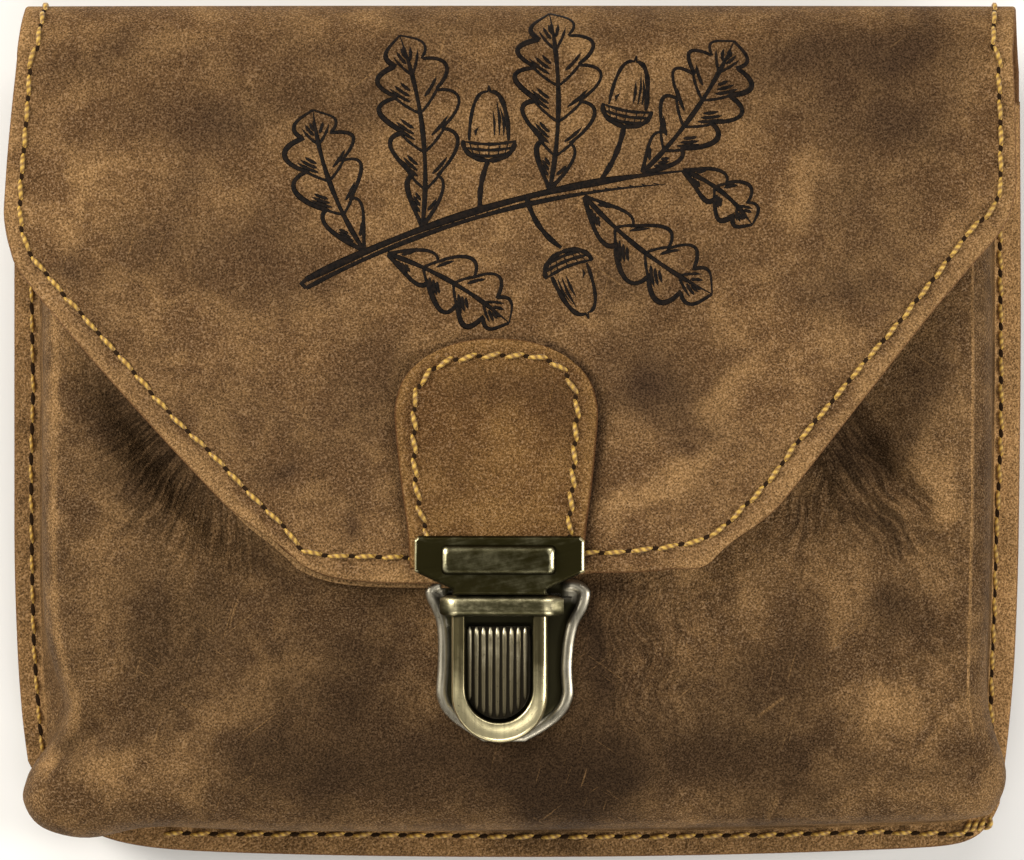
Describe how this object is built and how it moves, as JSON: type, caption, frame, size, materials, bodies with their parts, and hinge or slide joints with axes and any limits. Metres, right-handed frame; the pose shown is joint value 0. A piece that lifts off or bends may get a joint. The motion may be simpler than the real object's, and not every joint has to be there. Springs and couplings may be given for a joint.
{
  "type": "belt bag",
  "caption": "Small leather belt bag with a boxed pouch, a slanted wrap-over flap with an engraved scene, a stitched tab, a brass tuck lock with a sprung slide, and a belt loop.",
  "frame": {"origin": "Centre of the bag's outline in plan, at the height of the belt loop's flat outer face, on which the bag lies.", "axes": "+Z out of the bag's front, +X to the right of the front, +Y towards the top fold."},
  "size_m": [0.1781, 0.1497, 0.0514],
  "materials": {
    "brown_leather": "distressed waxed brown leather with fine grain, smoky dark blots and light scratches",
    "lining_leather": "thin matt lining leather",
    "antique_brass": "brushed antique brass, dark in its hollows and bright on its edges",
    "thread": "waxed golden yellow thread"
  },
  "bodies": {
    "bag": {"belt_loop": "brown_leather", "back_and_flap": "brown_leather", "front_pouch": "brown_leather", "flap_lining": "lining_leather", "closure_tab": "brown_leather", "lock_base": "antique_brass", "lock_frame": "antique_brass", "lock_tongue": "antique_brass"},
    "slide": {"thumb_slide": "antique_brass"}
  },
  "joints": [
    {"name": "slide_push", "type": "slide", "parent": "bag", "child": "slide", "axis": [0, -1, 0], "range_m": [0, 0.0022], "stiffness_N_per_m": 200, "springref_m": -0.004}
  ]
}
